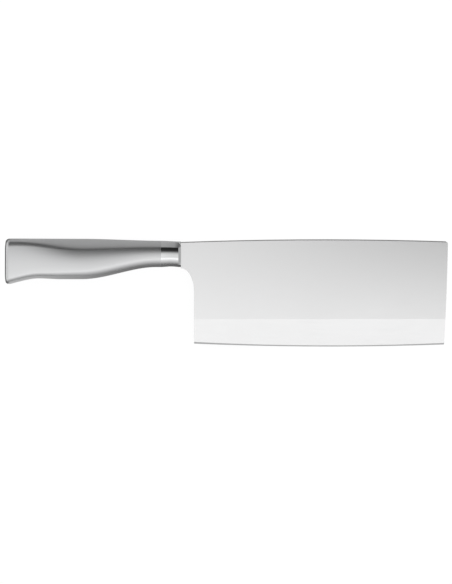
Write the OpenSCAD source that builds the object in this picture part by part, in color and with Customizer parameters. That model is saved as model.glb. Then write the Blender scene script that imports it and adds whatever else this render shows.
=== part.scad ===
// A vegetable cleaver of the tall slicing kind: a rectangular steel blade, a
// polished bolster and a hollow pressed-steel handle. It lies on its left side,
// as it does on a board, with the tip along +X and the spine along +Y.

/* [Blade] */
// Length of the blade from the heel corner to the tip
blade_length = 185; // [150:1:240]
// Height of the blade at the heel, from the spine to the cutting edge
heel_height = 74.1; // [60:0.1:100]
// Thickness of the blade's sheet
blade_thickness = 2.2; // [1.6:0.1:4]
// How far the spine bows up over the blade's length
spine_bow = 1.7; // [0.5:0.1:4]
// How far the spine's highest point lies from its middle towards the tip
spine_shift = 9; // [0:0.5:20]
// How far the cutting edge bows down over the blade's length
edge_bow = 1.8; // [0.8:0.1:4]
// How far the edge's lowest point lies from its middle towards the tip
edge_shift = 10; // [0:0.5:20]
// How far the tip's lower corner is drawn back
tip_rake = 2.9; // [0:0.1:8]
// Radius of the tip's upper corner
tip_corner = 1.5; // [0.5:0.1:4]
// Height of the ground bevel above the heel's corner
bevel_height = 17.8; // [8:0.1:30]
// Thickness left behind the honed edge
edge_land = 0.4; // [0.2:0.05:0.8]
// Height of the honed edge
hone_height = 0.75; // [0.3:0.05:1.5]
// Width of the eased corners along the spine
spine_ease = 0.7; // [0.2:0.05:0.75]
// Height of the curve from the bolster down to the heel
choil_height = 17.4; // [8:0.1:25]
// How far the blade's neck reaches below the bolster
choil_drop = 0.7; // [0:0.05:1.5]

/* [Bolster] */
// Length of the bolster along the knife
bolster_length = 14.4; // [8:0.1:25]
// Bare blade between the bolster and the heel
neck_length = 9.6; // [5:0.1:20]
// Height of the bolster
bolster_height = 18.55; // [15:0.05:26]
// How far the bolster's underside is hollowed
bolster_hollow = 0.45; // [0:0.05:1]
// Thickness of the bolster at the seam with the handle
bolster_thickness = 14.8; // [11:0.1:20]
// Length and depth of the chamfer from each side of the bolster to its front
chamfer_length = 1.8; // [0.5:0.1:3]
chamfer_depth = 1.35; // [0.3:0.05:2]
// Clearance round the tang in the bolster's slot
slot_clearance = 0.1; // [0.05:0.01:0.3]

/* [Handle] */
// Length of the handle behind the bolster, with its butt
handle_length = 112.4; // [95:0.1:140]
// Height of the handle at the deepest part of the grip
grip_height = 29.2; // [24:0.1:36]
// Thickness of the handle at the grip
grip_thickness = 20; // [17:0.1:24]
// How far the back of the handle rises above the spine
back_rise = 1.85; // [0:0.05:3]
// How far the back rises above the spine at the seam with the bolster
seam_rise = 0.5; // [0:0.05:1]
// How far the belly is drawn in at the waist, ahead of the butt
waist_depth = 0.6; // [0:0.1:2]
// How far the butt's lower corner drops below the grip
butt_drop = 4.5; // [2:0.1:6]
// Size of the rounded corner between the flat back and the facet
back_corner = 1.1; // [0.5:0.1:2]
// Wall of the pressed handle shells
shell_wall = 1.3; // [0.9:0.1:2]
// Depth of the groove that each seam weld fills
weld_depth = 0.5; // [0.3:0.05:0.6]
// Length of the rounded butt cap
cap_length = 3.8; // [2.5:0.1:5]
// Height of the low dome on the butt's end
cap_dome = 0.5; // [0.1:0.05:0.8]

/* [Inside] */
// Length of the tang behind the blade
tang_length = 52; // [30:1:80]
// Height of the tang
tang_height = 11; // [7:0.5:13]
// How much thinner the tang is than the blade
tang_relief = 0.3; // [0.1:0.05:0.6]
// Length of the bolster's spigot in the handle
spigot_length = 5; // [3:0.5:9]
// Clearance of what is fitted inside the shells
inner_clearance = 0.15; // [0.05:0.05:0.3]
// Length of the cement that holds the tang
cement_length = 40; // [20:1:60]
// Length of the balance weight in the butt
weight_length = 14; // [6:1:25]

/* [Hidden] */

steel = [0.78, 0.79, 0.80];
polished = [0.86, 0.87, 0.88];
cement_grey = [0.55, 0.54, 0.50];

// Stations along the knife, measured from the heel's corner
bolster_front = -neck_length;
seam_x = bolster_front - bolster_length;
butt_x = seam_x - handle_length;
cap_x = butt_x + cap_length;
tip_x = blade_length;

// Sides of the sections and steps of the lofts and curves
section_steps = 7;
corner_steps = 3;
facet_steps = 2;
handle_steps = 34;
bolster_steps = 4;
spigot_steps = 3;
weight_steps = 4;
cement_steps = 10;
curve_steps = 10;
cap_steps = 6;
dome_steps = 4;
// Where the stretches of the half section end, on its run from 0 to 2
back_end = 0.1;
corner_end = 0.3;
crease_end = 0.5;
// The facet's normal leans this far from square to the blade, and the side bends this sharply under it
facet_lean = 38;
side_power = 2.5;
// The belly's fall from the thickest line, and the most that the back's rounded corner takes of the flat
belly_fall = 0.92;
corner_most = 0.45;
// Places along the handle, 0 at the bolster's seam and 1 at the butt
back_reach = 0.5;
swell_start = 0.03;
swell_reach = 0.48;
waist_place = 0.79;
waist_half = 0.14;
width_reach = 0.6;
boxy_start = 0.5;
boxy_reach = 0.45;
// How sharply the butt's lower corner drops
drop_power = 1.77;
// How much slimmer each side of the bolster is at its front
front_slim = 0.4;
// Shares at the bolster, at the grip and at the butt: the facet's depth and the depth of the thickest
// line by the section's height, and the crease by its half thickness
facet_shares = [0.22, 0.23, 0.08];
wide_shares = [0.67, 0.79, 0.86];
crease_shares = [0.8, 0.8, 0.88];
// How round the belly is at the same three places: 1 is an ellipse, and less is boxier
belly_powers = [0.9, 0.76, 0.52];
// How far the butt's rim turns in, as a part of its length, and how far in the dome reaches from it
rim_turn_share = 0.85;
dome_reach = 4;
// A disc far wider than the knife bounds each long bow of the blade
bow_turn = 8;
bow_facets = 1600;
bow_share = 1.7;
bow_depth = bow_share * heel_height;
// Half thickness of the very edge
edge_half = 0.02;
// How far bounding shapes pass the knife, and how far a cut or a joined piece passes a face
reach = 8;
overlap = 1;
// A magnetic rack's face meets each flank at these shares of the blade's length and height
flank_along = 0.45;
flank_down = 0.38;

half_sheet = blade_thickness / 2;
half_land = edge_land / 2;

// The radius of a bow over a chord, and how far the bow falls away at a distance from its peak
function bow_radius(chord, rise) = chord * chord / (8 * rise) + rise / 2;
function sag(distance, radius) = radius - sqrt(radius * radius - distance * distance);
// A smooth step from 0 to 1
function ease(t) = let (u = min(1, max(0, t))) u * u * (3 - 2 * u);
// A bump of height 1 at the centre that falls to 0 at one half width
function bump(t, centre, half) = let (u = min(1, abs(t - centre) / half)) (1 - u * u) * (1 - u * u);

// Place along the handle, 0 at the bolster seam and 1 at the butt
function along(x) = (seam_x - x) / handle_length;
// A value that goes from its first, at the bolster, by its second, at the grip, to its third at the butt
function shaped(values, x) = values[0]
    + (values[1] - values[0]) * ease(along(x) / width_reach)
    + (values[2] - values[1]) * ease((along(x) - boxy_start) / boxy_reach);

// The back of the handle in side view
function back_y(x) = x > seam_x
    ? seam_rise * ease((bolster_front - x) / bolster_length)
    : seam_rise + (back_rise - seam_rise) * ease(along(x) / back_reach);

// The belly of the handle in side view: bolster, swell, waist and butt
function belly_y(x) =
    let (t = along(x), swell = grip_height - back_rise - bolster_height)
    x > seam_x
        ? -bolster_height + bolster_hollow * pow(sin(180 * (bolster_front - x) / bolster_length), 2)
        : -bolster_height
            - swell * ease((t - swell_start) / swell_reach)
            + waist_depth * bump(t, waist_place, waist_half)
            - butt_drop * pow(max(0, (t - waist_place) / (1 - waist_place)), drop_power);

// Half of the handle's thickness
function half_width(x) = let (t = along(x), slim = bolster_thickness / 2, full = grip_thickness / 2)
    x > seam_x
        ? slim - front_slim * ease((x - seam_x) / bolster_length)
        : slim + (full - slim) * ease(t / width_reach);

// One point of the outer half section, as [y, z]: the flat back runs from 0 to back_end, its rounded
// corner to corner_end, the facet to crease_end, the side to 1 and the belly's quarter round to 2
function section_point(u, top, bottom, half, facet, crease, wide, round) =
    let (
        height = top - bottom,
        crease_y = top - facet * height,
        crease_z = crease * half,
        flat_z = crease_z - facet * height * tan(facet_lean),
        wide_y = top - wide * height,
        c = min(back_corner, corner_most * flat_z),
        turned = [top - c * cos(facet_lean), flat_z + c * sin(facet_lean)]
    )
    u <= back_end
        ? [top, (flat_z - c) * u / back_end]
        : u <= corner_end
            ? let (t = (u - back_end) / (corner_end - back_end))
                (1 - t) * (1 - t) * [top, flat_z - c] + 2 * t * (1 - t) * [top, flat_z] + t * t * turned
            : u <= crease_end
                ? let (t = (u - corner_end) / (crease_end - corner_end))
                    turned + t * ([crease_y, crease_z] - turned)
                : u <= 1
                    ? let (t = (u - crease_end) / (1 - crease_end))
                        [crease_y + (wide_y - crease_y) * t,
                            half - (half - crease_z) * pow(1 - t, side_power)]
                    : let (a = 90 * (u - 1))
                        [wide_y + (bottom - wide_y) * pow(sin(a), belly_fall),
                            half * pow(cos(a), round)];

// Steps of the half section: one along the flat back, even along each stretch after it
section_steps_at = concat(
    [0, back_end],
    [for (i = [1:corner_steps]) back_end + (corner_end - back_end) * i / corner_steps],
    [for (i = [1:facet_steps]) corner_end + (crease_end - corner_end) * i / facet_steps],
    [for (i = [1:section_steps]) crease_end + (1 - crease_end) * i / section_steps],
    [for (i = [1:2 * section_steps]) 1 + i / (2 * section_steps)]);
last_step = len(section_steps_at) - 1;

// The outer half section at a station, for the side with the given sign: drawn in by inset all round,
// and made thinner by chamfer
function half_section(x, inset, side, chamfer = 0) = [for (u = section_steps_at)
    let (p = section_point(u, back_y(x) - inset, belly_y(x) + inset, half_width(x) - inset - chamfer,
        shaped(facet_shares, x), shaped(crease_shares, x), shaped(wide_shares, x),
        shaped(belly_powers, x)))
    [x, p[0], side * max(0, p[1])]];

// A whole section: down the right side and up the left
function whole_section(x, inset, chamfer = 0) =
    let (left = half_section(x, inset, -1, chamfer))
    concat(half_section(x, inset, 1, chamfer), [for (i = [last_step - 1:-1:1]) left[i]]);

// Faces of a loft through rings of n points, which run clockwise when seen from +X
function loft_faces(rings, n) = [for (i = [0:rings - 2], j = [0:n - 1], half = [0, 1])
    let (a = i * n + j, b = i * n + (j + 1) % n)
    half == 0 ? [a, b, b + n] : [a, b + n, a + n]];

// A solid loft whose ends are fans round their first point
module solid_loft(rings) {
    n = len(rings[0]);
    last = (len(rings) - 1) * n;
    polyhedron(
        points = [for (r = rings, p = r) p],
        faces = concat(
            loft_faces(len(rings), n),
            [for (j = [1:n - 2]) [0, j + 1, j]],
            [for (j = [1:n - 2]) [last, last + j, last + j + 1]]));
}

// The radii and places of a rim that turns inwards by round over the same length
function rim_x(i, round) = round * sin(90 * i / cap_steps);
function rim_in(i, round) = round * (1 - cos(90 * i / cap_steps));

// Stations of the shells from the bolster's seam to the butt cap
shell_x = [for (i = [0:handle_steps]) seam_x + (cap_x - seam_x) * i / handle_steps];

// The two bows of the blade: where each peaks along the knife, and how low the edge reaches
spine_chord = tip_x - bolster_front;
spine_radius = bow_radius(spine_chord, spine_bow);
spine_peak = bolster_front + spine_chord / 2 + spine_shift;
edge_chord = blade_length - tip_rake;
edge_radius = bow_radius(edge_chord, edge_bow);
edge_peak = edge_chord / 2 + edge_shift;
edge_low = -heel_height - sag(edge_peak, edge_radius);

// Side view of the blade, from the bolster round by the tip and the heel to the choil
module side_outline() {
    low = edge_low - reach;
    choil_top = -bolster_height - choil_drop;
    rake = tip_rake / heel_height;
    polygon(concat(
        [[bolster_front, reach]],
        [[tip_x - tip_corner, reach]],
        [for (i = [0:curve_steps])
            let (a = 90 - 90 * i / curve_steps)
            [tip_x - tip_corner + tip_corner * cos(a), -tip_corner + tip_corner * sin(a)]],
        [for (i = [1:curve_steps])
            let (t = i / curve_steps, y = -tip_corner + (low + tip_corner) * t)
            [tip_x + rake * (y + tip_corner) + tip_rake / 2 * t * (1 - t), y]],
        [[0, low], [0, choil_top - choil_height]],
        [for (i = [1:curve_steps])
            let (a = 90 * i / curve_steps)
            [bolster_front * (1 - cos(a)), choil_top - choil_height * (1 - sin(a))]]));
}

// The sheet with its two ground bevels, seen from the tip and run along the knife
module ground_sheet() {
    shoulder = -heel_height + bevel_height;
    slope = (half_sheet - half_land) / (shoulder - edge_low);
    low = shoulder - half_sheet / slope;
    translate([bolster_front, 0, 0])
        rotate([90, 0, 90])
            linear_extrude(height = tip_x - bolster_front + reach)
                polygon([
                    [reach, half_sheet], [shoulder, half_sheet], [low, 0],
                    [shoulder, -half_sheet], [reach, -half_sheet]]);
}

// A sector of a wide disc whose rim is drawn to an edge of half thickness land
module bowed_rim(radius, depth, land, slope) {
    start = -bow_turn / 2;
    rotate([0, 0, start])
        rotate_extrude(angle = bow_turn, $fn = bow_facets)
            polygon([
                [radius - depth, -reach], [radius - reach * slope, -reach], [radius, -land],
                [radius, land], [radius - reach * slope, reach], [radius - depth, reach]]);
}

// The honed edge: the lowest points of the blade lie on one long arc
module edge_bound() {
    translate([edge_peak, edge_low + edge_radius, 0])
        rotate([0, 0, -90])
            bowed_rim(edge_radius, bow_depth, edge_half, hone_height / half_land);
}

// The spine: its highest points lie on one long arc with eased corners
module spine_bound() {
    translate([spine_peak, spine_bow - spine_radius, 0])
        rotate([0, 0, 90])
            bowed_rim(spine_radius, bow_depth, half_sheet - spine_ease, 1);
}

module tang() {
    half = half_sheet - tang_relief;
    translate([bolster_front - tang_length, -bolster_height / 2 - tang_height / 2, -half])
        cube([tang_length + overlap, tang_height, 2 * half]);
}

module blade() {
    color(steel) at_rest() {
        intersection() {
            translate([0, 0, -reach]) linear_extrude(height = 2 * reach) side_outline();
            ground_sheet();
            edge_bound();
            spine_bound();
        }
        tang();
    }
}

module bolster() {
    slot_half = half_sheet - tang_relief + slot_clearance;
    mid_y = -bolster_height / 2;
    fit = shell_wall + inner_clearance;
    color(polished) at_rest() difference() {
        union() {
            solid_loft(concat(
                [whole_section(bolster_front, 0, chamfer_depth)],
                [for (i = [0:bolster_steps])
                    whole_section(bolster_front - chamfer_length
                        - (bolster_length - chamfer_length) * i / bolster_steps, 0)]));
            solid_loft([for (i = [0:spigot_steps])
                whole_section(seam_x + overlap - (spigot_length + overlap) * i / spigot_steps, fit)]);
        }
        translate([seam_x - spigot_length - overlap, mid_y - tang_height / 2 - slot_clearance, -slot_half])
            cube([bolster_length + spigot_length + 2 * overlap, tang_height + 2 * slot_clearance,
                2 * slot_half]);
    }
}

// One point on the mid plane, weld_depth below the back or above the belly
function groove_top(x) = [x, back_y(x) - weld_depth, 0];
function groove_bottom(x) = [x, belly_y(x) + weld_depth, 0];

// The rims of the grooves: the flat back is as high as the seam, the belly's rim lies on its round
function back_rim(x, side) = [x, back_y(x), side * weld_depth];
function belly_rim(x, side) =
    let (
        top = back_y(x),
        wide_y = top - shaped(wide_shares, x) * (top - belly_y(x)),
        a = acos(pow(weld_depth / half_width(x), 1 / shaped(belly_powers, x)))
    )
    [x, wide_y + (belly_y(x) - wide_y) * pow(sin(a), belly_fall), side * weld_depth];

// The loop of one pressed shell: outer side from back to belly, then the inner side back up
function shell_ring(x, side) =
    let (outer = half_section(x, 0, side), inner = half_section(x, shell_wall, side))
    concat(
        [groove_top(x), back_rim(x, side)],
        [for (i = [1:last_step - 1]) outer[i]],
        [belly_rim(x, side), groove_bottom(x)],
        [for (i = [last_step:-1:0]) inner[i]]);

// A loft of C-shaped rings; each end is a strip between its outer and its inner side
module shell_loft(side) {
    rings = [for (x = shell_x) shell_ring(x, side)];
    n = len(rings[0]);
    last = (len(rings) - 1) * n;
    outer_count = last_step + 3;
    // The outer side has two more points than the inner, so its first and last pairs share one
    function inner_of(j) = n - 1 - min(last_step, max(0, j - 1));
    strip = [for (j = [0:outer_count - 2], half = [0, 1])
        let (a = j, b = j + 1, c = inner_of(j + 1), d = inner_of(j))
        if (half == 0 || c != d) half == 0 ? [a, b, c] : [a, c, d]];
    sides = concat(
        loft_faces(len(rings), n),
        [for (f = strip) [f[2], f[1], f[0]]],
        [for (f = strip) [last + f[0], last + f[1], last + f[2]]]);
    polyhedron(
        points = [for (r = rings, p = r) p],
        faces = side > 0 ? sides : [for (f = sides) [f[2], f[1], f[0]]]);
}

module right_handle_shell() {
    color(steel) at_rest() shell_loft(1);
}

module left_handle_shell() {
    color(steel) at_rest() shell_loft(-1);
}

// A bead of three-cornered section that fills one groove flush
module top_seam_weld() {
    color(steel) at_rest() solid_loft([for (x = shell_x)
        [groove_top(x), back_rim(x, 1), back_rim(x, -1)]]);
}

module bottom_seam_weld() {
    color(steel) at_rest() solid_loft([for (x = shell_x)
        [groove_bottom(x), belly_rim(x, -1), belly_rim(x, 1)]]);
}

// The butt: a cap whose rim turns in by its own length, with a low dome inside the rim
module butt_cap() {
    rim = cap_length - cap_dome;
    rim_turn = rim_turn_share * rim;
    color(steel) at_rest() solid_loft(concat(
        [for (i = [0:cap_steps]) whole_section(cap_x - rim_x(i, rim), rim_turn * rim_in(i, rim) / rim)],
        [for (i = [1:dome_steps])
            let (t = i / dome_steps)
            whole_section(butt_x + cap_dome * (1 - t) * (1 - t), rim_turn + dome_reach * t)]));
}

module balance_weight() {
    fit = shell_wall + inner_clearance;
    color(cement_grey) at_rest() solid_loft([for (i = [0:weight_steps])
        whole_section(cap_x + inner_clearance + weight_length * (1 - i / weight_steps), fit)]);
}

module tang_cement() {
    fit = shell_wall + inner_clearance;
    slot_half = half_sheet - tang_relief + slot_clearance;
    start = seam_x - spigot_length - inner_clearance;
    color(cement_grey) at_rest() difference() {
        solid_loft([for (i = [0:cement_steps])
            whole_section(start - cement_length * i / cement_steps, fit)]);
        translate([start - cement_length - overlap,
            -bolster_height / 2 - tang_height / 2 - slot_clearance, -slot_half])
            cube([cement_length + 2 * overlap, tang_height + 2 * slot_clearance, 2 * slot_half]);
    }
}

// The knife leans from the handle's low side to the tip, both of which touch the board
function lean_at(x) = atan((half_width(x) - half_sheet) / (tip_x - x));
lean = max([for (x = shell_x) lean_at(x)]);
lift = tip_x * sin(lean) + half_sheet * cos(lean);
middle_x = (tip_x + butt_x) / 2;
middle_y = (max(back_rise, spine_bow) + edge_low) / 2;

module at_rest() {
    translate([-middle_x * cos(lean), -middle_y, lift]) rotate([0, lean, 0]) children();
}

// Where a magnetic rack's face meets each flank
flank_x = flank_along * blade_length;
flank_y = -flank_down * heel_height;
function rested(p) = [
    p[0] * cos(lean) + p[2] * sin(lean) - middle_x * cos(lean),
    p[1] - middle_y,
    p[2] * cos(lean) - p[0] * sin(lean) + lift];
echo(right_flank = rested([flank_x, flank_y, half_sheet]), normal = [sin(lean), 0, cos(lean)]);
echo(left_flank = rested([flank_x, flank_y, -half_sheet]), lean = lean);

blade();
bolster();
right_handle_shell();
left_handle_shell();
butt_cap();
balance_weight();
tang_cement();
top_seam_weld();
bottom_seam_weld();
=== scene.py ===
import math

import bpy
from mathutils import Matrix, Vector


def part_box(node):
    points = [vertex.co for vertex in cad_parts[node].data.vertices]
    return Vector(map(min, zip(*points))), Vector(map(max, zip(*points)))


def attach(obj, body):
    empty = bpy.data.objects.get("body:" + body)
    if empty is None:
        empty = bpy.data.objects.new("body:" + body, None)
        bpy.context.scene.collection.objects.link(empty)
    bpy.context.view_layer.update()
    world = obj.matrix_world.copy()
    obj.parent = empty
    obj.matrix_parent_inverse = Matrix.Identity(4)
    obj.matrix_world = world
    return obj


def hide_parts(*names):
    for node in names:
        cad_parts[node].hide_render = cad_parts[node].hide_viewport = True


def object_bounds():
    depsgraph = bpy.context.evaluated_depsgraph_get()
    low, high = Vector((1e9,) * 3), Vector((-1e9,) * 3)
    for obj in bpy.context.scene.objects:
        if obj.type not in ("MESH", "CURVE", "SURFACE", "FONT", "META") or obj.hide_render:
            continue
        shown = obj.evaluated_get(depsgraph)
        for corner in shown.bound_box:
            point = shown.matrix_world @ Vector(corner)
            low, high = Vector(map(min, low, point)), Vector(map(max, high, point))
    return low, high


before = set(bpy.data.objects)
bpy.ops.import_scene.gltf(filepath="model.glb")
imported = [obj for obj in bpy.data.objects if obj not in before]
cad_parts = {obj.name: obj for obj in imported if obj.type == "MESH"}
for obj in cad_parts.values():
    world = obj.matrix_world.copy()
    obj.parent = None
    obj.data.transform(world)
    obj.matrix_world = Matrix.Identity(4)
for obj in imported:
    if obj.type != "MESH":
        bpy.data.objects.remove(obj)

cad_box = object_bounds()

# The picture's height, and the knife's length in it, in pixels
PICTURE_HEIGHT = 584
KNIFE_PIXELS = 444.1
# How far the knife's middle lies right of and below the picture's, in pixels
OFF_CENTRE = (1.5, 0.85)
# The camera's sensor and lens, in millimetres
SENSOR = 36
LENS = 100

# The floor's side and reflectance
FLOOR_SIZE = 6
FLOOR_ALBEDO = 0.9
# How bright the floor looks, and the share of that which the object can shade
FLOOR_WHITE = 1.02
FLOOR_SHADE = 0.08
WORLD_STRENGTH = 1.0

# The hood that only reflections see, a painted reflection that lights nothing: its sizes in metres, and
# how brightly it glows
HOOD_RADIUS = 1.6
HOOD_LENGTH = 9.0
HOOD_SIDES = 96
HOOD_STRENGTH = 1.25
# Its painted reflection tone by degrees from the zenith, towards the spine where positive
HOOD_TONES = (
    (-90, 0.12), (-72, 0.38), (-45, 0.62), (-30, 0.80), (-16, 0.93), (-6, 1.24), (-1, 1.06),
    (3, 0.90), (9, 0.91), (16, 0.64), (19.5, 0.34), (23.5, 0.12), (28, 0.03), (46, 0.02),
    (54, 0.363), (90, 0.42))
# Far along the knife's line on either side, these tones give way to a plain one
PLAIN_FROM = (0.8, 1.5)
PLAIN_TONE = 0.72
# Above the blade the hood darkens towards the tip and the spine: start and end along x and y
FADE_ALONG = (0.0, 0.6)
FADE_ACROSS = (-0.03, 0.13)
FADE_DEPTH = 0.6

# Strips that glow only in reflections, painted reflections darker than the floor that paint shade into the
# steel: their height above the floor, and how far out they reach
STRIP_HEIGHT = 0.0005
STRIP_REACH = 0.4
# How far the strip under the belly passes the bolster
STRIP_PASS = 0.06
# The tones of each strip's painted reflection, at its butt end and at its tip end
BACK_TONES = (0.42, 0.42)
BELLY_TONES = (0.62, 0.08)
BUTT_TONES = (0.12, 0.12)
# A low card beyond the tip, glowing only in reflections, which the bolster's front chamfer reflects: a
# painted reflection
CARD_DISTANCE = 1.0
CARD_WIDTH = 2.0
CARD_HEIGHT = 0.36
CARD_TONE = 0.45

# Points of a CAD copy closer than this are one point
MERGE_GAP = 0.000002
# Where two faces meet at more than this many degrees, their edge stays crisp
BLADE_CREASE = 1
BOLSTER_CREASE = 25
HANDLE_CREASE = 35
# A blade face whose normal's upright part lies between these is honed edge or eased spine
EASED_SLOPE = (0.5, 0.985)

# Ground steel: linear colour and roughness, how far its lines are drawn out along each axis, how fine
# and how deep they are, and how far the tone varies
BLADE_FINISH = {
    "colour": (0.795, 0.795, 0.797), "roughness": 0.19, "stretch": (1.0, 12.0, 12.0),
    "grain": 60.0, "depth": 0.0, "change": 0.01}
HANDLE_FINISH = {
    "colour": (0.78, 0.785, 0.79), "roughness": 0.32, "stretch": (1.0, 8.0, 8.0),
    "grain": 400.0, "depth": 0.12, "change": 0.05}
# The most sloping blade faces: darker than the flats, rougher and more deeply lined
HONED_FINISH = {
    "colour": (0.57, 0.57, 0.575), "roughness": 0.4, "stretch": (40.0, 1.0, 1.0),
    "grain": 60.0, "depth": 0.3, "change": 0.05}
# Its lines and the soft clouds between them: their noise, and their shares of tone and roughness
LINE_DETAIL = 5.0
LINE_ROUGHNESS = 0.65
LINE_RELIEF = 0.00002
LINE_TONE = 0.6
LINE_GLOSS = 0.10
CLOUD_SCALE = 22.0
CLOUD_DETAIL = 3.0
CLOUD_TONE = 0.4
CLOUD_GLOSS = 0.06
# Polished steel: linear colour and roughness, with its faint haze and hairlines
BOLSTER_FINISH = {"colour": (0.84, 0.845, 0.85), "roughness": 0.07}
HAZE_SCALE = 60.0
HAZE_DETAIL = 4.0
HAZE_CHANGE = 0.03
HAZE_GLOSS = 0.05
HAIR_STRETCH = (40.0, 900.0, 900.0)
HAIR_SCALE = 3.0
HAIR_DETAIL = 2.0
HAIR_GLOSS = 0.03
# Cast iron and cured cement, with their pits
IRON_FINISH = {"colour": (0.16, 0.16, 0.165), "roughness": 0.6, "metallic": 0.7, "grain": 400.0}
CEMENT_FINISH = {"colour": (0.22, 0.20, 0.17), "roughness": 0.85, "metallic": 0.0, "grain": 900.0}
PIT_DETAIL = 6.0
PIT_CHANGE = 0.35
PIT_GLOSS = 0.2
PIT_STRENGTH = 0.6
PIT_RELIEF = 0.0002


class Wire:
    """A socket whose arithmetic adds Math nodes."""

    def __init__(self, tree, socket):
        self.tree, self.socket = tree, socket

    def node(self, kind, settings=None, **inputs):
        """Adds a node: its settings first, then what its sockets take, by name or as i and a number."""
        made = self.tree.nodes.new(kind)
        for name, value in (settings or {}).items():
            if name == "stops":
                for place, _ in value[2:]:
                    made.color_ramp.elements.new(place)
                for stop, (place, tone) in zip(made.color_ramp.elements, sorted(value)):
                    stop.position, stop.color = place, grey(tone)
            else:
                setattr(made, name, value)
        for name, value in inputs.items():
            key = int(name[1:]) if name[1:].isdigit() else name
            if isinstance(value, Wire):
                self.tree.links.new(value.socket, made.inputs[key])
            else:
                made.inputs[key].default_value = value
        return made

    def out(self, kind, settings=None, port=0, **inputs):
        """Adds a node as above, and gives a wire on one of its outputs."""
        return Wire(self.tree, self.node(kind, settings, **inputs).outputs[port])

    def into(self, socket):
        self.tree.links.new(self.socket, socket)

    def math(self, operation, a, b):
        return self.out("ShaderNodeMath", {"operation": operation}, i0=a, i1=b)

    def __add__(self, other):
        return self.math("ADD", self, other)

    __radd__ = __add__

    def __mul__(self, other):
        return self.math("MULTIPLY", self, other)

    __rmul__ = __mul__

    def __sub__(self, other):
        return self.math("SUBTRACT", self, other)

    def __rsub__(self, other):
        return self.math("SUBTRACT", other, self)


def grey(tone):
    return (tone, tone, tone, 1)


def steel_or_filler(name, metallic):
    """A node material with its shader, and a wire on Object coordinates."""
    material = bpy.data.materials.new(name)
    material.use_nodes = True
    tree = material.node_tree
    shader = tree.nodes["Principled BSDF"]
    shader.inputs["Metallic"].default_value = metallic
    coords = tree.nodes.new("ShaderNodeTexCoord")
    return material, shader, Wire(tree, coords.outputs["Object"])


def tinted(place, colour, amount, tone):
    """The colour made darker or lighter by a wire around one half."""
    low = (*(c * (1 - amount) for c in colour), 1)
    high = (*(min(1, c * (1 + amount)) for c in colour), 1)
    return place.out(
        "ShaderNodeMix", {"data_type": "RGBA"}, 2, i0=tone, i6=low, i7=high)


def satin_steel(name, colour, roughness, stretch, grain, depth, change):
    """Steel ground with fine lines, which run where stretch is small."""
    material, shader, place = steel_or_filler(name, 1.0)
    lines_at = place.out("ShaderNodeMapping", Vector=place, Scale=stretch)
    lines = place.out(
        "ShaderNodeTexNoise", Vector=lines_at, Scale=grain, Detail=LINE_DETAIL,
        Roughness=LINE_ROUGHNESS)
    cloud = place.out(
        "ShaderNodeTexNoise", Vector=place, Scale=CLOUD_SCALE, Detail=CLOUD_DETAIL)
    tone = lines * LINE_TONE + cloud * CLOUD_TONE
    tinted(place, colour, change, tone).into(shader.inputs["Base Color"])
    plain = roughness - (LINE_GLOSS + CLOUD_GLOSS) / 2
    (lines * LINE_GLOSS + cloud * CLOUD_GLOSS + plain).into(shader.inputs["Roughness"])
    bump = place.out("ShaderNodeBump", Height=lines, Strength=depth, Distance=LINE_RELIEF)
    bump.into(shader.inputs["Normal"])
    return material


def polished_steel(name, colour, roughness):
    """Mirror polish with the faint haze and hairlines of a buffed collar."""
    material, shader, place = steel_or_filler(name, 1.0)
    haze = place.out("ShaderNodeTexNoise", Vector=place, Scale=HAZE_SCALE, Detail=HAZE_DETAIL)
    hair_at = place.out("ShaderNodeMapping", Vector=place, Scale=HAIR_STRETCH)
    hair = place.out("ShaderNodeTexNoise", Vector=hair_at, Scale=HAIR_SCALE, Detail=HAIR_DETAIL)
    tinted(place, colour, HAZE_CHANGE, haze).into(shader.inputs["Base Color"])
    plain = roughness - (HAZE_GLOSS + HAIR_GLOSS) / 2
    (haze * HAZE_GLOSS + hair * HAIR_GLOSS + plain).into(shader.inputs["Roughness"])
    return material


def rough_filler(name, colour, roughness, metallic, grain):
    """Cast iron or cured cement, for the pieces sealed in the handle."""
    material, shader, place = steel_or_filler(name, metallic)
    pits = place.out("ShaderNodeTexNoise", Vector=place, Scale=grain, Detail=PIT_DETAIL)
    tinted(place, colour, PIT_CHANGE, pits).into(shader.inputs["Base Color"])
    (pits * PIT_GLOSS + (roughness - PIT_GLOSS / 2)).into(shader.inputs["Roughness"])
    bump = place.out("ShaderNodeBump", Height=pits, Strength=PIT_STRENGTH, Distance=PIT_RELIEF)
    bump.into(shader.inputs["Normal"])
    return material


def select_only(thing):
    bpy.ops.object.select_all(action="DESELECT")
    thing.select_set(True)
    bpy.context.view_layer.objects.active = thing


def smooth_copy(node, name, material, crease):
    """A merged copy of a CAD node, smooth over its curves and crisp at its corners."""
    select_only(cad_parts[node])
    bpy.ops.object.duplicate()
    piece = bpy.context.object
    piece.name = piece.data.name = name
    bpy.ops.object.mode_set(mode="EDIT")
    bpy.ops.mesh.select_all(action="SELECT")
    bpy.ops.mesh.remove_doubles(threshold=MERGE_GAP)
    bpy.ops.object.mode_set(mode="OBJECT")
    bpy.ops.mesh.customdata_custom_splitnormals_clear()
    bpy.ops.object.shade_smooth_by_angle(angle=math.radians(crease))
    piece.data.materials.clear()
    piece.data.materials.append(material)
    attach(piece, "root")
    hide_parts(node)
    return piece


def finish_edges(piece, material):
    """Gives the honed edge and the eased spine, which slope most, a darker steel that is rougher and more
    deeply lined.
    """
    piece.data.materials.append(material)
    select_only(piece)
    bpy.ops.object.mode_set(mode="EDIT")
    bpy.ops.mesh.select_all(action="DESELECT")
    bpy.ops.object.mode_set(mode="OBJECT")
    for face in piece.data.polygons:
        face.select = EASED_SLOPE[0] < abs(face.normal.z) < EASED_SLOPE[1]
    bpy.ops.object.mode_set(mode="EDIT")
    piece.active_material_index = 1
    bpy.ops.object.material_slot_assign()
    bpy.ops.object.mode_set(mode="OBJECT")


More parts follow.
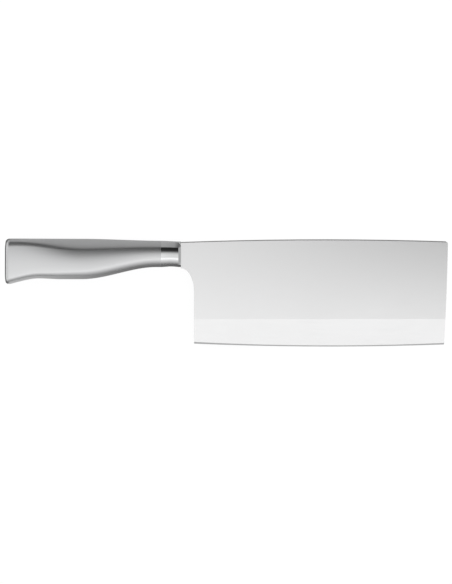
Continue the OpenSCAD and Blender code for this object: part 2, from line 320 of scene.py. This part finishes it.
def painted_reflection_glow(name):
    """A material that shines by itself, for painted reflections: its glow, and a wire on Object
    coordinates.
    """
    material = bpy.data.materials.new(name)
    material.use_nodes = True
    tree = material.node_tree
    tree.nodes.clear()
    coords = tree.nodes.new("ShaderNodeTexCoord")
    glow = tree.nodes.new("ShaderNodeEmission")
    glow.inputs["Strength"].default_value = HOOD_STRENGTH
    out = tree.nodes.new("ShaderNodeOutputMaterial")
    tree.links.new(glow.outputs[0], out.inputs["Surface"])
    return material, glow, Wire(tree, coords.outputs["Object"])


def reflected_only(made, name, material):
    """Leaves a stage piece to glossy rays alone, so that it shapes reflections and lights nothing."""
    made.name = name
    made.data.materials.append(material)
    made.visible_camera = made.visible_diffuse = made.visible_shadow = False
    made.visible_transmission = made.visible_volume_scatter = False


def make_hood():
    """A half round tent along the knife that glows only in reflections: its painted reflection tone, by
    the angle from the zenith, shapes every reflection.
    """
    bpy.ops.object.select_all(action="DESELECT")
    bpy.ops.mesh.primitive_cylinder_add(
        vertices=HOOD_SIDES, radius=HOOD_RADIUS, depth=HOOD_LENGTH, end_fill_type="NOTHING",
        rotation=(0, math.pi / 2, 0))
    hood = bpy.context.object
    bpy.ops.object.transform_apply(location=True, rotation=True, scale=True)
    bpy.ops.object.mode_set(mode="EDIT")
    bpy.ops.mesh.select_all(action="SELECT")
    bpy.ops.mesh.bisect(plane_co=(0, 0, 0), plane_no=(0, 0, 1), clear_inner=True)
    bpy.ops.object.mode_set(mode="OBJECT")
    material, glow, place = painted_reflection_glow("hood_painted_reflection")
    parts = place.node("ShaderNodeSeparateXYZ", Vector=place)
    x, y, z = (Wire(place.tree, parts.outputs[axis]) for axis in "XYZ")
    # From 0 at the floor on the edge's side to 1 at the floor on the spine's side
    turn = y.math("ARCTAN2", y, z) * (1 / math.pi) + 0.5
    stops = [((angle + 90) / 180, tone / HOOD_STRENGTH) for angle, tone in HOOD_TONES]
    band = turn.out("ShaderNodeValToRGB", {"stops": stops}, 0, Fac=turn)
    along = x.out("ShaderNodeMapRange", Value=x, i1=FADE_ALONG[0], i2=FADE_ALONG[1])
    across = y.out("ShaderNodeMapRange", Value=y, i1=FADE_ACROSS[0], i2=FADE_ACROSS[1])
    fade = 1 - along * across * FADE_DEPTH
    aside = x.math("ABSOLUTE", x, 0)
    far = x.out("ShaderNodeMapRange", Value=aside, i1=PLAIN_FROM[0], i2=PLAIN_FROM[1])
    plain = grey(PLAIN_TONE / HOOD_STRENGTH)
    painted_tone = x.out("ShaderNodeMix", {"data_type": "RGBA"}, 2, i0=far, i6=band, i7=plain)
    tone = fade.out("ShaderNodeVectorMath", {"operation": "SCALE"}, 0, i0=painted_tone, Scale=fade)
    tone.into(glow.inputs["Color"])
    reflected_only(hood, "hood", material)


def floor_strip(name, low, high, tones):
    """A strip on the floor beside the handle that glows only in reflections, a painted reflection darker
    than the floor that paints shade under its sides: it fades along the knife.
    """
    bpy.ops.object.select_all(action="DESELECT")
    middle = ((low[0] + high[0]) / 2, (low[1] + high[1]) / 2, STRIP_HEIGHT)
    bpy.ops.mesh.primitive_plane_add(size=1, location=middle)
    strip = bpy.context.object
    strip.scale = (high[0] - low[0], high[1] - low[1], 1)
    material, glow, place = painted_reflection_glow(name)
    parts = place.node("ShaderNodeSeparateXYZ", Vector=place)
    # The share left before the tip end, squared, so that the fade slows down towards it
    rest = 0.5 - Wire(place.tree, parts.outputs["X"])
    share = 1 - rest * rest
    start, end = (grey(tone / HOOD_STRENGTH) for tone in tones)
    painted_tone = place.out("ShaderNodeMix", {"data_type": "RGBA"}, 2, i0=share, i6=start, i7=end)
    painted_tone.into(glow.inputs["Color"])
    reflected_only(strip, name, material)


def make_end_card():
    """An upright card across the far end of the knife's line, a painted reflection that glows only in
    reflections.
    """
    bpy.ops.object.select_all(action="DESELECT")
    bpy.ops.mesh.primitive_plane_add(
        size=1, location=(CARD_DISTANCE, 0, CARD_HEIGHT / 2), rotation=(0, math.pi / 2, 0))
    card = bpy.context.object
    card.scale = (CARD_HEIGHT, CARD_WIDTH, 1)
    material, glow, _ = painted_reflection_glow("end_card")
    glow.inputs["Color"].default_value = grey(CARD_TONE / HOOD_STRENGTH)
    reflected_only(card, "end_card", material)


def make_floor():
    """A white floor: what is seen of it, straight or in the steel, is paper white with a soft shadow."""
    bpy.ops.object.select_all(action="DESELECT")
    bpy.ops.mesh.primitive_plane_add(size=FLOOR_SIZE)
    floor = bpy.context.object
    floor.name = "floor"
    material = bpy.data.materials.new("pale_floor")
    material.use_nodes = True
    tree = material.node_tree
    tree.nodes.clear()
    rays = tree.nodes.new("ShaderNodeLightPath").outputs
    path = Wire(tree, rays["Is Camera Ray"])
    seen = path + Wire(tree, rays["Is Glossy Ray"]) + Wire(tree, rays["Is Transmission Ray"])
    paper = path.out("ShaderNodeBsdfDiffuse", Color=grey(FLOOR_ALBEDO))
    shade = path.out("ShaderNodeBsdfDiffuse", Color=grey(FLOOR_SHADE))
    light = path.out("ShaderNodeEmission", Color=grey(1), Strength=FLOOR_WHITE - FLOOR_SHADE)
    bright = path.out("ShaderNodeAddShader", i0=shade, i1=light)
    mixed = path.out("ShaderNodeMixShader", i0=seen, i1=paper, i2=bright)
    mixed.into(tree.nodes.new("ShaderNodeOutputMaterial").inputs["Surface"])
    floor.data.materials.append(material)


def make_world():
    world = bpy.data.worlds.new("studio")
    world.use_nodes = True
    sky = world.node_tree.nodes["Background"]
    sky.inputs["Color"].default_value = grey(1)
    sky.inputs["Strength"].default_value = WORLD_STRENGTH
    bpy.context.scene.world = world


def make_camera():
    """Straight above the knife, with the spine at the picture's top."""
    low, high = (Vector(corner) for corner in cad_box)
    span = (high.x - low.x) * PICTURE_HEIGHT / KNIFE_PIXELS
    lens = bpy.data.cameras.new("camera")
    lens.lens = LENS
    lens.sensor_width = SENSOR
    camera = bpy.data.objects.new("camera", lens)
    middle = (low + high) / 2
    pixel = span / PICTURE_HEIGHT
    camera.location = middle + Vector(
        (-OFF_CENTRE[0] * pixel, OFF_CENTRE[1] * pixel, span * LENS / SENSOR))
    bpy.context.collection.objects.link(camera)
    bpy.context.scene.camera = camera


blade_steel = satin_steel("blade_steel", **BLADE_FINISH)
handle_steel = satin_steel("handle_steel", **HANDLE_FINISH)
honed_steel = satin_steel("honed_steel", **HONED_FINISH)
bolster_steel = polished_steel("bolster_steel", **BOLSTER_FINISH)
weight_iron = rough_filler("weight_iron", **IRON_FINISH)
cement = rough_filler("cement", **CEMENT_FINISH)

blade_sheet = smooth_copy("blade", "blade_sheet", blade_steel, BLADE_CREASE)
finish_edges(blade_sheet, honed_steel)
smooth_copy("bolster", "bolster_collar", bolster_steel, BOLSTER_CREASE)
smooth_copy("right_handle_shell", "right_shell", handle_steel, HANDLE_CREASE)
smooth_copy("left_handle_shell", "left_shell", handle_steel, HANDLE_CREASE)
smooth_copy("butt_cap", "butt_end", handle_steel, HANDLE_CREASE)
for node, material in (
        ("balance_weight", weight_iron), ("tang_cement", cement),
        ("top_seam_weld", handle_steel), ("bottom_seam_weld", handle_steel)):
    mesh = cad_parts[node].data
    mesh.materials.clear()
    mesh.materials.append(material)

make_floor()
make_world()
make_camera()
make_hood()
make_end_card()
bolster_low, bolster_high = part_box("bolster")
floor_strip("back_strip", (cad_box[0][0], cad_box[1][1]), (STRIP_REACH, STRIP_REACH), BACK_TONES)
floor_strip(
    "butt_strip", (-2 * STRIP_REACH, -STRIP_REACH), (cad_box[0][0], STRIP_REACH), BUTT_TONES)
floor_strip(
    "belly_strip", (cad_box[0][0], -STRIP_REACH), (bolster_high[0] + STRIP_PASS, bolster_low[1]),
    BELLY_TONES)
bpy.context.scene.view_settings.view_transform = "Standard"
